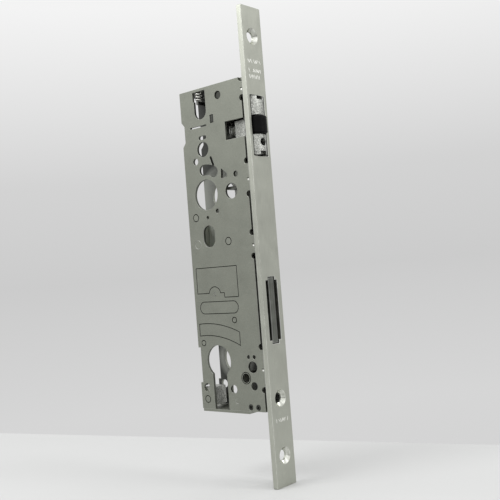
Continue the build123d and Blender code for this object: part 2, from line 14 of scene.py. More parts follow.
import bmesh
import bpy
from mathutils import Matrix, Vector

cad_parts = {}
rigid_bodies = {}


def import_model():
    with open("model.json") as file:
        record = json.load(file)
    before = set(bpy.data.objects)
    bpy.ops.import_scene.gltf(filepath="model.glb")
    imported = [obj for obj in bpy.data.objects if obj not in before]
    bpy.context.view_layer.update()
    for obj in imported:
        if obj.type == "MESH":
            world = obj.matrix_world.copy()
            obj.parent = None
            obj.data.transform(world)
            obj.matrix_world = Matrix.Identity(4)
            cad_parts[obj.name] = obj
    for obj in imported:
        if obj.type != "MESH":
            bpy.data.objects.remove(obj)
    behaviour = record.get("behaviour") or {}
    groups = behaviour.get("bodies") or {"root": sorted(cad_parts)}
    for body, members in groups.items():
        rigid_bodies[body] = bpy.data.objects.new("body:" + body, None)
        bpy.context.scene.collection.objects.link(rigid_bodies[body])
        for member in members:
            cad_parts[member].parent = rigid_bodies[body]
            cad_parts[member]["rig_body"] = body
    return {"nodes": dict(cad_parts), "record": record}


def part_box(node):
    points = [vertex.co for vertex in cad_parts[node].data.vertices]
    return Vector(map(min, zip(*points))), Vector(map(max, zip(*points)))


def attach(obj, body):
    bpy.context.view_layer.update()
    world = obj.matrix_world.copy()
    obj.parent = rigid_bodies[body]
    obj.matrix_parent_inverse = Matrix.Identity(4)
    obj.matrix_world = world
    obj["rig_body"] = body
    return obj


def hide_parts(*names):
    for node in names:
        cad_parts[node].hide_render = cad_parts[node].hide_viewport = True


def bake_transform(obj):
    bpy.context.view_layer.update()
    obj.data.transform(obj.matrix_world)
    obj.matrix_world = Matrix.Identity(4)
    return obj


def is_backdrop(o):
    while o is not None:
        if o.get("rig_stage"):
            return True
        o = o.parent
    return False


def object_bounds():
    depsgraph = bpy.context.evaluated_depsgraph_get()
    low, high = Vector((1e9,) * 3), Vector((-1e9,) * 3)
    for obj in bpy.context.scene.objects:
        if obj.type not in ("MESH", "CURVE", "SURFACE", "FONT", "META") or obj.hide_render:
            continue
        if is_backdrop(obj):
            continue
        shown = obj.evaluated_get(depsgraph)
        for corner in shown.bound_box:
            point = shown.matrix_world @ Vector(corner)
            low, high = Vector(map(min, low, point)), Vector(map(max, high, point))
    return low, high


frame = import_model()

MM = 0.001
WELD = 1e-6  # corners nearer than this are one corner, in metres
Colour = tuple[float, float, float]
Size = tuple[float, float, float]  # along X, Y and Z, in millimetres

log = logging.getLogger("mortise_lock")


def mount_place(name: str) -> Vector:
    """Give the place of one of the record's mounts.

    Args:
        name: The mount's name in the record.

    Returns:
        Its position in metres.
    """
    return next(Vector(mount["pos_m"]) for mount in frame["record"]["mounts"] if mount["name"] == name)


CYLINDER_AXIS = mount_place("cylinder_profile")
HUB_AXIS = mount_place("hub_opening")


def spot(x: float, y: float, height: float) -> Vector:
    """Turn millimetres into a point of the frame.

    Args:
        x: Distance out of the door's edge.
        y: Distance across the door's thickness.
        height: Height over the cylinder's axis.

    Returns:
        The point in metres.
    """
    return Vector((x * MM, y * MM, CYLINDER_AXIS.z + height * MM))


# Where painted light lies on the painted shade of the case's inside: an axis across the lock, its reach in
# millimetres, and the gain of the painted light tone
PAINTED_LIGHT_PLACES = (
    (HUB_AXIS, 16.5, 1.0),
    (CYLINDER_AXIS, 11.0, 1.0),
    (spot(-43, 0, 69), 9.5, 2.8),
)
PAINTED_LIGHT_SHARE = 0.9  # how fully the painted light tone covers the painted shade at those places


# Node graphs ---------------------------------------------------------------------------------------------


class Graph:
    """A shader or geometry tree with one way of adding a node."""

    def __init__(self, tree: bpy.types.NodeTree) -> None:
        """Keep the tree that the nodes go into."""
        self.tree = tree

    def node(self, kind: str, settings: dict | None = None, inputs: dict | None = None) -> bpy.types.Node:
        """Add one node.

        Args:
            kind: The node's type.
            settings: Properties by name, set first; "stops" holds a ramp's (position, grey) pairs.
            inputs: Values, sockets or signals, by the input's name or index.

        Returns:
            The node.
        """
        made = self.tree.nodes.new(kind)
        for name, value in (settings or {}).items():
            if name == "stops":
                self._set_stops(made, value)
            else:
                setattr(made, name, value)
        for key, value in (inputs or {}).items():
            source = value.socket if isinstance(value, Signal) else value
            if isinstance(source, bpy.types.NodeSocket):
                self.tree.links.new(source, made.inputs[key])
            else:
                made.inputs[key].default_value = source
        return made

    @staticmethod
    def _set_stops(ramp: bpy.types.Node, stops: list[tuple[float, float]]) -> None:
        """Give a ramp its stops.

        Args:
            ramp: The ramp's node.
            stops: (position, grey) pairs, in rising order.
        """
        elements = ramp.color_ramp.elements
        while len(elements) < len(stops):
            elements.new(1.0)
        for element, (position, grey) in zip(elements, stops):
            element.position = position
            element.color = (grey, grey, grey, 1.0)


class Signal:
    """A number that a node gives, which Python's arithmetic can be used on."""

    def __init__(self, graph: Graph, socket: bpy.types.NodeSocket) -> None:
        """Wrap a node's output socket."""
        self.graph = graph
        self.socket = socket

    def _math(self, operation: str, *values: "Signal | float", clamp: bool = False) -> "Signal":
        """Add a Math node on the values and wrap its result."""
        settings = {"operation": operation, "use_clamp": clamp}
        node = self.graph.node("ShaderNodeMath", settings, dict(enumerate(values)))
        return Signal(self.graph, node.outputs[0])

    def __add__(self, other: "Signal | float") -> "Signal":
        """Add."""
        return self._math("ADD", self, other)

    __radd__ = __add__

    def __mul__(self, other: "Signal | float") -> "Signal":
        """Multiply."""
        return self._math("MULTIPLY", self, other)

    __rmul__ = __mul__

    def __sub__(self, other: "Signal | float") -> "Signal":
        """Subtract."""
        return self._math("SUBTRACT", self, other)

    def __rsub__(self, other: "Signal | float") -> "Signal":
        """Subtract from a number."""
        return self._math("SUBTRACT", other, self)

    def sine(self) -> "Signal":
        """Take the sine of an angle in radians."""
        return self._math("SINE", self)

    def held(self) -> "Signal":
        """Hold between 0 and 1."""
        return self._math("ADD", self, 0.0, clamp=True)


class Surface(Graph):
    """A material with one Principled shader, patterned on the piece's own coordinates."""

    def __init__(self, name: str, shader_values: dict) -> None:
        """Start a material.

        Args:
            name: The material's name.
            shader_values: Constant values of the shader's sockets.
        """
        self.material = bpy.data.materials.new(name)
        self.material.use_nodes = True
        self.material.node_tree.nodes.clear()
        super().__init__(self.material.node_tree)
        self.shader = self.node("ShaderNodeBsdfPrincipled", inputs=shader_values)
        self.node("ShaderNodeOutputMaterial", inputs={"Surface": self.shader.outputs[0]})
        self.place = self.node("ShaderNodeTexCoord").outputs["Object"]

    def noise(self, size_mm: float, stretch: Colour = (1.0, 1.0, 1.0), detail: float = 3.0) -> Signal:
        """Add a cloudy pattern.

        Args:
            size_mm: Width of one cloud.
            stretch: Scale of the coordinates; a small number draws the clouds out along that axis.
            detail: How many finer layers lie on the first.

        Returns:
            The pattern, around 0.5.
        """
        mapped = self.node("ShaderNodeMapping", inputs={"Vector": self.place, "Scale": stretch})
        inputs = {"Vector": mapped.outputs[0], "Scale": 1 / (size_mm * MM), "Detail": detail}
        return Signal(self, self.node("ShaderNodeTexNoise", inputs=inputs).outputs[0])

    def peaks(self, source: Signal, low: float, high: float) -> Signal:
        """Keep what of a pattern lies over a level.

        Args:
            source: The pattern.
            low: Where it starts to count.
            high: Where it counts in full.

        Returns:
            A mask from 0 to 1.
        """
        ramp = self.node("ShaderNodeValToRGB", {"stops": [(low, 0.0), (high, 1.0)]}, {"Fac": source})
        return Signal(self, ramp.outputs[0])

    def between(self, share: Signal, first: Colour, second: Colour) -> bpy.types.NodeSocket:
        """Mix two colours by a share from 0 to 1."""
        mix = self.node("ShaderNodeMix", {"data_type": "RGBA"}, {0: share, 6: (*first, 1), 7: (*second, 1)})
        return mix.outputs[2]

    def tint(self, share: Signal, under: bpy.types.NodeSocket, over: Colour) -> bpy.types.NodeSocket:
        """Lay a colour over another socket's colour by a share from 0 to 1."""
        mix = self.node("ShaderNodeMix", {"data_type": "RGBA"}, {0: share, 6: under, 7: (*over, 1)})
        return mix.outputs[2]

    def closeness(self, axis: Vector, reach_mm: float, fade_mm: float = 3.0) -> Signal:
        """Mark what lies round an axis that runs across the lock.

        Args:
            axis: A point of the axis.
            reach_mm: Distance up to which the mask is full.
            fade_mm: Distance over which it then fades out.

        Returns:
            A mask from 0 to 1.
        """
        away = self.node("ShaderNodeVectorMath", {"operation": "SUBTRACT"}, {0: self.place, 1: axis})
        flattening = {0: away.outputs[0], 1: (1.0, 0.0, 1.0)}
        flat = self.node("ShaderNodeVectorMath", {"operation": "MULTIPLY"}, flattening)
        far = self.node("ShaderNodeVectorMath", {"operation": "LENGTH"}, {0: flat.outputs[0]})
        return (1.0 + reach_mm / fade_mm - Signal(self, far.outputs["Value"]) * (1 / (fade_mm * MM))).held()

    def drive(self, name: str, value: "Signal | bpy.types.NodeSocket") -> None:
        """Feed one of the shader's sockets."""
        source = value.socket if isinstance(value, Signal) else value
        self.tree.links.new(source, self.shader.inputs[name])

    def emboss(self, height: Signal, depth_mm: float) -> None:
        """Raise the surface by a pattern, by up to this depth."""
        bump = self.node("ShaderNodeBump", inputs={"Strength": 1.0, "Distance": depth_mm * MM, "Height": height})
        self.drive("Normal", bump.outputs[0])


# Finishes ------------------------------------------------------------------------------------------------


class Grain(Enum):
    """Which way the fine lines of a surface run."""

    NONE = (1.0, 1.0, 1.0)
    ALONG_Z = (1.0, 1.0, 0.03)


WORN_HIGHLIGHT_TONE = 0.9  # tone that wear and a painted highlight bring an edge towards
SCUFF_LEVELS = (0.6, 0.74)  # where a noise starts to show as a scuff, and where it shows in full
SCUFF_GAIN = 1.35  # how much brighter a scuff is than the light tone


@dataclass(frozen=True)
class MetalFinish:
    """A plated, ground or cast metal."""

    name: str
    dark: Colour
    light: Colour
    roughness: float
    grain_run: Grain = Grain.NONE
    grain_size: float = 0.22
    grain: float = 0.5
    cloud_size: float = 9.0
    cloud: float = 0.8
    pits: float = 0.0
    pit_size: float = 0.8
    scuffs: float = 0.25
    bump: float = 0.004
    metallic: float = 1.0
    # Tone of the painted light round the openings, laid over the painted shade of inner parts.
    painted_light_tone: Colour | None = None

    def worn_and_highlit(self, share: float = 0.2) -> "MetalFinish":
        """Give the edges a brighter, smoother finish: partly the wear that handling leaves, partly a painted
        highlight along the broken edges.

        Args:
            share: How far the colours move towards the worn, highlit tone.

        Returns:
            The finish of the edges.
        """
        dark = tuple(value + (WORN_HIGHLIGHT_TONE - value) * share * 0.6 for value in self.dark)
        light = tuple(value + (WORN_HIGHLIGHT_TONE - value) * share for value in self.light)
        return replace(self, name=f"{self.name}_edge", dark=dark, light=light, roughness=self.roughness * 0.8)

    @cache
    def material(self) -> bpy.types.Material:
        """Build the finish's material the first time that it is asked for."""
        surface = Surface(f"{self.name}_surface", {"Metallic": self.metallic, "Specular IOR Level": 0.5})
        clouds = surface.noise(self.cloud_size, detail=4.0)
        lines = surface.noise(self.grain_size, self.grain_run.value, detail=2.0)
        pits = surface.noise(self.pit_size, detail=2.0)
        tone = 0.5 + self.cloud * (clouds - 0.5) + self.grain * (lines - 0.5) + self.pits * (pits - 0.5)
        colour = surface.between(tone.held(), self.dark, self.light)
        scuffed = surface.peaks(surface.noise(self.cloud_size * 0.4, detail=6.0), *SCUFF_LEVELS) * self.scuffs
        bright = tuple(min(1.0, value * SCUFF_GAIN) for value in self.light)
        # Painted light: round each opening the colour is lifted towards a lit mid grey.
        if self.painted_light_tone:
            for axis, reach, gain in PAINTED_LIGHT_PLACES:
                lit_tone = tuple(value * gain for value in self.painted_light_tone)
                colour = surface.tint(surface.closeness(axis, reach) * PAINTED_LIGHT_SHARE, colour, lit_tone)
        surface.drive("Base Color", surface.tint(scuffed, colour, bright))
        roughness = self.roughness + 0.25 * (clouds - 0.5) + 0.15 * (lines - 0.5)
        surface.drive("Roughness", roughness.held())
        surface.emboss(self.grain * lines + (self.pits * 2.0) * pits, self.bump)
        return surface.material


@dataclass(frozen=True)
class MouldedFinish:
    """A dark moulded plastic with a fine matt texture."""

    name: str
    dark: Colour
    light: Colour
    roughness: float
    texture_size: float = 0.35
    rub_size: float = 2.2
    rub_levels: tuple[float, float] = (0.45, 0.7)
    rub_share: float = 0.4
    bump: float = 0.006

    @cache
    def material(self) -> bpy.types.Material:
        """Build the finish's material the first time that it is asked for."""
        surface = Surface(f"{self.name}_surface", {"Specular IOR Level": 0.3, "IOR": 1.25})
        texture = surface.noise(self.texture_size, detail=3.0)
        rubbed = surface.peaks(surface.noise(self.rub_size, detail=4.0), *self.rub_levels)
        tone = (1 - self.rub_share) * texture + self.rub_share * rubbed
        surface.drive("Base Color", surface.between(tone.held(), self.dark, self.light))
        surface.drive("Roughness", (self.roughness + 0.2 * (texture - 0.5) - 0.08 * rubbed).held())
        surface.emboss(texture, self.bump)
        return surface.material


FOREND_STEEL = MetalFinish(
    "forend_steel", (0.36, 0.37, 0.32), (0.57, 0.585, 0.52), 0.4, Grain.ALONG_Z, grain=0.8, cloud=0.35,
    scuffs=0.12,
)
CASE_STEEL = MetalFinish(
    "case_steel", (0.175, 0.183, 0.155), (0.35, 0.363, 0.315), 0.48, grain=1.1, cloud=0.3, scuffs=0.08, bump=0.008,
)
BOLT_STEEL = MetalFinish(
    "bolt_steel", (0.09, 0.094, 0.082), (0.22, 0.23, 0.205), 0.42, Grain.ALONG_Z, grain=1.1, bump=0.01,
)
# Painted shade: the case's inner faces are painted near black to stand for the shade inside the closed case; round
# the openings, painted light lifts them to mid grey.
INSIDE_PAINTED_SHADE = MetalFinish(
    "inside_painted_shade", (0.02, 0.021, 0.018), (0.075, 0.078, 0.07), 0.62, grain=0.8, scuffs=0.1, metallic=0.2,
    painted_light_tone=(0.3, 0.31, 0.28),
)
# Round the openings the slide takes painted light, as the case's inside does.
SLIDE_STEEL = MetalFinish(
    "slide_steel", (0.07, 0.07, 0.062), (0.17, 0.17, 0.155), 0.45, Grain.ALONG_Z, painted_light_tone=(0.26, 0.27, 0.24),
)
PIN_STEEL = MetalFinish("pin_steel", (0.175, 0.183, 0.155), (0.37, 0.383, 0.335), 0.48, grain=0.9, cloud=0.4)
# Countersink cones: bright machined metal, with a brighter base and strong blotches that add painted highlights
# and painted shade.
SINK_STEEL_AND_GLINT = MetalFinish(
    "sink_steel_and_glint", (0.35, 0.36, 0.31), (0.95, 0.96, 0.9), 0.16, grain=0.3, cloud=1.6, cloud_size=2.5,
)
# Dark steel for the upper pillar and the screws; on the catch bracket it is painted shade.
DARK_STEEL_AND_SHADE = MetalFinish("dark_steel_and_shade", (0.03, 0.032, 0.028), (0.13, 0.135, 0.12), 0.55, grain=0.9)
SPRING_STEEL = MetalFinish("spring_steel", (0.4, 0.4, 0.36), (0.75, 0.75, 0.71), 0.3, grain=0.3, bump=0.001)
CAST_ZINC = MetalFinish(
    "cast_zinc", (0.15, 0.155, 0.14), (0.66, 0.67, 0.63), 0.46, pits=2.4, pit_size=0.55, cloud=1.0, cloud_size=3.0,
    bump=0.05,
)
# Near white painted highlight for the stamped strokes and the tab nubs.
PAINTED_GLINT = MetalFinish("painted_glint", (0.75, 0.75, 0.7), (0.97, 0.97, 0.94), 0.5, grain=0.3, bump=0.001)
# Near black painted shade for grooves, tab slits, the rings round pins and screws, and the adjusting screw.
PAINTED_SHADE_BLACK = MetalFinish("painted_shade_black", (0.003, 0.0032, 0.0026), (0.018, 0.019, 0.016), 0.7, scuffs=0.0)
BLACK_NYLON = MouldedFinish("black_nylon", (0.0008, 0.0008, 0.001), (0.004, 0.004, 0.0045), 0.5)


# Mesh work -----------------------------------------------------------------------------------------------


def settle(piece: bpy.types.Object, body: str) -> bpy.types.Object:
    """Make a piece ride on a body and report it.

    Args:
        piece: The piece, in place.
        body: The CAD body that it moves with.

    Returns:
        The piece.
    """
    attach(piece, body)
    log.info("%s: %d faces on %s", piece.name, len(piece.data.polygons), body)
    return piece


def body_of_node(node: str) -> str:
    """Give the body that a CAD node belongs to."""
    return frame["nodes"][node]["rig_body"]


@cache
def node_box(node: str) -> tuple[Vector, Vector]:
    """Give the box of a CAD node, measured once."""
    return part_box(node)


def new_object(name: str, mesh: bpy.types.Mesh) -> bpy.types.Object:
    """Put a mesh into the scene under its own name."""
    made = bpy.data.objects.new(name, mesh)
    bpy.context.scene.collection.objects.link(made)
    return made


def bake_modifiers(piece: bpy.types.Object) -> None:
    """Turn a piece and its modifiers into one plain mesh.

    Args:
        piece: The piece, whose modifiers are taken away.
    """
    depsgraph = bpy.context.evaluated_depsgraph_get()
    plain = bpy.data.meshes.new_from_object(piece.evaluated_get(depsgraph), depsgraph=depsgraph)
    piece.modifiers.clear()
    piece.data = plain


def dress_node(node: str, finish: MetalFinish | MouldedFinish) -> None:
    """Give a CAD node that keeps its own mesh its finish.

    Args:
        node: The CAD node.
        finish: The finish that it takes.
    """
    piece = frame["nodes"][node]
    piece.data.materials.clear()
    piece.data.materials.append(finish.material())
    log.info("%s: dressed in %s", node, finish.name)


@dataclass(frozen=True)
class Region:
    """Faces of a piece that take another finish than the rest of it."""

    finish: MetalFinish
    holds: Callable[[bmesh.types.BMFace], bool]
    keeps_edges: bool = False


@dataclass
class BrokenEdges:
    """How a machined or pressed piece's sharp edges are broken."""

    width: float = 0.15
    segments: int = 2
    least_angle: float = 32.0

    def copy_of(
        self,
        node: str,
        finish: MetalFinish,
        edge: MetalFinish | None = None,
        regions: tuple[Region, ...] = (),
        untouched: Callable[[Vector], bool] = lambda place: False,
    ) -> bpy.types.Object:
        """Make a welded copy of a CAD node with broken edges, which stands for it.

        Args:
            node: The CAD node.
            finish: The finish of its faces.
            edge: The finish of the broken edges, or None for the first one's finish with edge wear and a painted
                highlight.
            regions: Faces with a finish of their own.
            untouched: Tells of a place whether the edges there stay sharp.

        Returns:
            The copy, riding on the node's body.
        """
        work = bmesh.new()
        work.from_mesh(frame["nodes"][node].data)
        bmesh.ops.remove_doubles(work, verts=work.verts, dist=WELD)
        bmesh.ops.dissolve_limit(work, angle_limit=math.radians(0.3), verts=work.verts, edges=work.edges)
        sharp_faces = self.paint(work, regions)
        self.weigh(work, sharp_faces, untouched)
        mesh = bpy.data.meshes.new(node)
        work.to_mesh(mesh)
        work.free()
        if "custom_normal" in mesh.attributes:
            mesh.attributes.remove(mesh.attributes["custom_normal"])
        for each_finish in (finish, edge or finish.worn_and_highlit(), *(region.finish for region in regions)):
            mesh.materials.append(each_finish.material())
        piece = new_object(f"{node}_finished", mesh)
        bevel = piece.modifiers.new("broken edges", "BEVEL")
        bevel.width = self.width * MM
        bevel.segments = self.segments
        bevel.limit_method = "WEIGHT"
        bevel.use_clamp_overlap = False
        bevel.harden_normals = True
        bevel.material = 1
        bake_modifiers(piece)
        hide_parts(node)
        return settle(piece, body_of_node(node))

    @staticmethod
    def paint(work: bmesh.types.BMesh, regions: tuple[Region, ...]) -> set[bmesh.types.BMFace]:
        """Shade every face smooth and give each region's faces their material's number.

        Args:
            work: The mesh in work.
            regions: Faces with a finish of their own.

        Returns:
            The faces whose edges stay sharp.
        """
        kept = set()
        for face in work.faces:
            face.smooth = True
            face.material_index = 0
            for index, region in enumerate(regions):
                if region.holds(face):
                    face.material_index = index + 2
                    if region.keeps_edges:
                        kept.add(face)
        return kept

    def weigh(
        self,
        work: bmesh.types.BMesh,
        sharp_faces: set[bmesh.types.BMFace],
        untouched: Callable[[Vector], bool],
    ) -> None:
        """Mark the edges to break, and leave the other corners crisp.

        Args:
            work: The mesh in work.
            sharp_faces: Faces whose edges stay sharp.
            untouched: Tells of a place whether the edges there stay sharp.
        """
        weights = work.edges.layers.float.new("bevel_weight_edge")
        for line in work.edges:
            if line.calc_face_angle(0.0) < math.radians(self.least_angle):
                continue
            middle = (line.verts[0].co + line.verts[1].co) / 2
            if untouched(middle) or not sharp_faces.isdisjoint(line.link_faces):
                line.smooth = False
            else:
                line[weights] = 1.0


def swept_wire(name: str, points: list[Vector], radius: float, finish: MetalFinish) -> bpy.types.Object:
    """Bend a round wire along a smooth line.

    Args:
        name: The piece's name.
        points: Points that the line runs between, in metres.
        radius: The wire's radius in millimetres.
        finish: The wire's finish.

    Returns:
        The wire as a mesh.
    """
    curve = bpy.data.curves.new(name, "CURVE")
    curve.dimensions = "3D"
    curve.bevel_depth = radius * MM
    curve.bevel_resolution = 4
    curve.use_fill_caps = True
    spline = curve.splines.new("NURBS")
    spline.points.add(len(points) - 1)
    for control, point in zip(spline.points, points):
        control.co = (*point, 1.0)
    spline.order_u = 4
    spline.use_endpoint_u = True
    spline.resolution_u = 8
    draft = new_object(f"{name}_line", curve)
    depsgraph = bpy.context.evaluated_depsgraph_get()
    mesh = bpy.data.meshes.new_from_object(draft.evaluated_get(depsgraph), depsgraph=depsgraph)
    bpy.data.objects.remove(draft)
    mesh.materials.clear()
    mesh.materials.append(finish.material())
    mesh.shade_smooth()
    return new_object(name, mesh)


def turned_ring(name: str, profile: list[tuple[float, float]], centre: Vector, steps: int) -> bpy.types.Object:
    """Turn a closed profile about an upright axis.

    Args:
        name: The piece's name.
        profile: (radius, height) points in millimetres, in order round the section.
        centre: Where the axis stands and heights count from, in metres.
        steps: Facets round the ring.

    Returns:
        The ring.
    """
    work = bmesh.new()
    rings = []
    for step in range(steps):
        angle = step * math.tau / steps
        across = Vector((math.cos(angle), math.sin(angle), 0.0))
        rings.append([work.verts.new(centre + (across * r + Vector((0, 0, z))) * MM) for r, z in profile])
    for ring, following in zip(rings, rings[1:] + rings[:1]):
        for low in range(len(profile)):
            high = (low + 1) % len(profile)
            work.faces.new((ring[low], following[low], following[high], ring[high])).smooth = True
    bmesh.ops.recalc_face_normals(work, faces=work.faces)
    mesh = bpy.data.meshes.new(name)
    work.to_mesh(mesh)
    work.free()
    return new_object(name, mesh)


class Pattern(Graph):
    """A geometry tree that makes what repeats or follows a rule, and leaves a plain mesh."""

    def __init__(self, name: str) -> None:
        """Start the tree with its geometry in and out.

        Args:
            name: The tree's name.
        """
        super().__init__(bpy.data.node_groups.new(name, "GeometryNodeTree"))
        self.identifiers: dict[str, str] = {}
        self.tree.interface.new_socket(name="Geometry", in_out="INPUT", socket_type="NodeSocketGeometry")
        self.tree.interface.new_socket(name="Geometry", in_out="OUTPUT", socket_type="NodeSocketGeometry")
        self.group_input = self.node("NodeGroupInput")

    def input(self, name: str, kind: str = "Float") -> Signal:
        """Add a named input and give its signal.

        Args:
            name: The input's name.
            kind: Float, Int or Vector.

        Returns:
            The input as a signal.
        """
        socket = self.tree.interface.new_socket(name=name, in_out="INPUT", socket_type=f"NodeSocket{kind}")
        self.identifiers[name] = socket.identifier
        return Signal(self, self.group_input.outputs[name])

    def close(self, geometry: bpy.types.NodeSocket, material: bpy.types.Material) -> None:
        """End the tree: realise the copies, shade them smooth and give them their material.

        Args:
            geometry: What the tree has made.
            material: The material of all of it.
        """
        smooth = self.node("GeometryNodeSetShadeSmooth", inputs={"Geometry": geometry})
        real = self.node("GeometryNodeRealizeInstances", inputs={"Geometry": smooth.outputs[0]})
        dressed = self.node("GeometryNodeSetMaterial", inputs={"Geometry": real.outputs[0], "Material": material})
        self.node("NodeGroupOutput", inputs={0: dressed.outputs[0]})

    def make(self, name: str, values: dict, places: list[Vector]) -> bpy.types.Object:
        """Run the tree and keep its result as a plain mesh.

        Args:
            name: The piece's name.
            values: The inputs' values by name.
            places: Points that the tree gets as its geometry, in metres.

        Returns:
            The piece.
        """
        points = bpy.data.meshes.new(name)
        points.from_pydata([tuple(place) for place in places], [], [])
        piece = new_object(name, points)
        modifier = piece.modifiers.new("pattern", "NODES")
        modifier.node_group = self.tree
        for key, value in values.items():
            modifier[self.identifiers[key]] = value
        bake_modifiers(piece)
        return piece


class CoilPattern(Pattern):
    """A round-wire coil spring with closed ends, wound upwards from the origin and then laid in place."""

    STEPS = 28
    CLOSING = 0.75  # how much closer the end turns lie than the middle ones

    def __init__(self, finish: MetalFinish) -> None:
        """Build the tree.

        Args:
            finish: The wire's finish.
        """
        super().__init__("coil_spring")
        radius, wire = self.input("Radius"), self.input("Wire")
        turns, length = self.input("Turns"), self.input("Length")
        turn, centre = self.input("Turn", "Vector"), self.input("Centre", "Vector")
        spiral_inputs = {
            "Resolution": self.STEPS, "Rotations": turns, "Start Radius": radius, "End Radius": radius,
            "Height": length,
        }
        spiral = self.node("GeometryNodeCurveSpiral", inputs=spiral_inputs)
        along = Signal(self, self.node("GeometryNodeSplineParameter").outputs["Factor"])
        eased = along - (along * math.tau).sine() * (self.CLOSING / math.tau)
        here = self.node("ShaderNodeSeparateXYZ", inputs={0: self.node("GeometryNodeInputPosition").outputs[0]})
        rise = (eased - 0.5) * length
        moved = self.node("ShaderNodeCombineXYZ", inputs={0: here.outputs[0], 1: here.outputs[1], 2: rise})
        wound = self.node(
            "GeometryNodeSetPosition", inputs={"Geometry": spiral.outputs[0], "Position": moved.outputs[0]},
        )
        section = self.node("GeometryNodeCurvePrimitiveCircle", inputs={"Resolution": 12, "Radius": wire})
        tube_inputs = {"Curve": wound.outputs[0], "Profile Curve": section.outputs[0], "Fill Caps": True}
        tube = self.node("GeometryNodeCurveToMesh", inputs=tube_inputs)
        placed = self.node(
            "GeometryNodeTransform",
            inputs={"Geometry": tube.outputs[0], "Rotation": turn, "Translation": centre},
        )
        self.close(placed.outputs[0], finish.material())


class StrokePattern(Pattern):
    """Small rounded strokes scattered on a grid: stamped marks that say nothing, in the finish given, which paints
    them as highlights or as shade.
    """

    def __init__(self, name: str, finish: MetalFinish) -> None:
        """Build the tree.

        Args:
            name: The tree's name.
            finish: The strokes' finish.
        """
        super().__init__(name)
        size, tilt = self.input("Stroke", "Vector"), self.input("Tilt")
        kept, seed = self.input("Kept"), self.input("Seed", "Int")
        chance = self.node(
            "FunctionNodeRandomValue", {"data_type": "BOOLEAN"}, {"Probability": kept, "Seed": seed},
        )
        bead = self.node("GeometryNodeMeshUVSphere", inputs={"Segments": 10, "Rings": 6, "Radius": 0.5})
        lean = self.node(
            "FunctionNodeRandomValue", {"data_type": "FLOAT"}, {2: tilt * -1.0, 3: tilt, "Seed": seed},
        )
        turn = self.node("ShaderNodeCombineXYZ", inputs={0: lean.outputs[1]})
        spread = self.node(
            "GeometryNodeInstanceOnPoints",
            inputs={
                "Points": self.group_input.outputs[0], "Selection": chance.outputs[3],
                "Instance": bead.outputs[0], "Rotation": turn.outputs[0], "Scale": size,
            },
        )
        self.close(spread.outputs[0], finish.material())


# Sub-assemblies ------------------------------------------------------------------------------------------


@dataclass
class Forend:
    """The long face plate with its countersunk holes and two stamped zones, whose strokes are painted highlights.
    """

    edges: BrokenEdges = field(default_factory=lambda: BrokenEdges(0.22, 3))
    stroke: Size = (0.12, 0.5, 2.4)
    upper_rows: tuple[float, ...] = (159.5, 154.6, 151.2)
    lower_rows: tuple[float, ...] = (-31.5,)
    half_width: float = 4.6
    columns: int = 9
    greatest_tilt: float = 0.7
    share_kept: float = 0.75
    sink_slopes: tuple[float, float] = (0.5, 0.9)  # how far a countersink's faces look out of the door

    def build(self) -> None:
        """Build the plate and its marks."""
        least, most = self.sink_slopes
        # The countersinks' cones take their brighter finish with painted highlights.
        sinks = Region(SINK_STEEL_AND_GLINT, lambda face: least < face.normal.x < most, keeps_edges=True)
        # Forend edges: edge wear and a strong painted highlight along the bevels.
        self.edges.copy_of("forend", FOREND_STEEL, FOREND_STEEL.worn_and_highlit(0.6), regions=(sinks,))
        # The stamped strokes are painted near white as painted highlights on the embossed marks.
        pattern = StrokePattern("stamped_strokes", PAINTED_GLINT)
        self.marks(pattern, "forend_upper_marks", self.upper_rows, seed=4)
        self.marks(pattern, "forend_lower_marks", self.lower_rows, seed=9)

    def marks(self, pattern: StrokePattern, name: str, rows: tuple[float, ...], seed: int) -> None:
        """Stamp one zone.

        Args:
            pattern: The tree that scatters the strokes.
            name: The piece's name.
            rows: Heights of the rows.
            seed: Seed of the zone's gaps and tilts.
        """
        pitch = 2 * self.half_width / (self.columns - 1)
        across = [column * pitch - self.half_width for column in range(self.columns)]
        places = [spot(0, y, height) for height in rows for y in across]
        values = {
            "Stroke": [size * MM for size in self.stroke], "Tilt": self.greatest_tilt,
            "Kept": self.share_kept, "Seed": seed,
        }
        piece = pattern.make(name, values, places)
        settle(piece, "case")


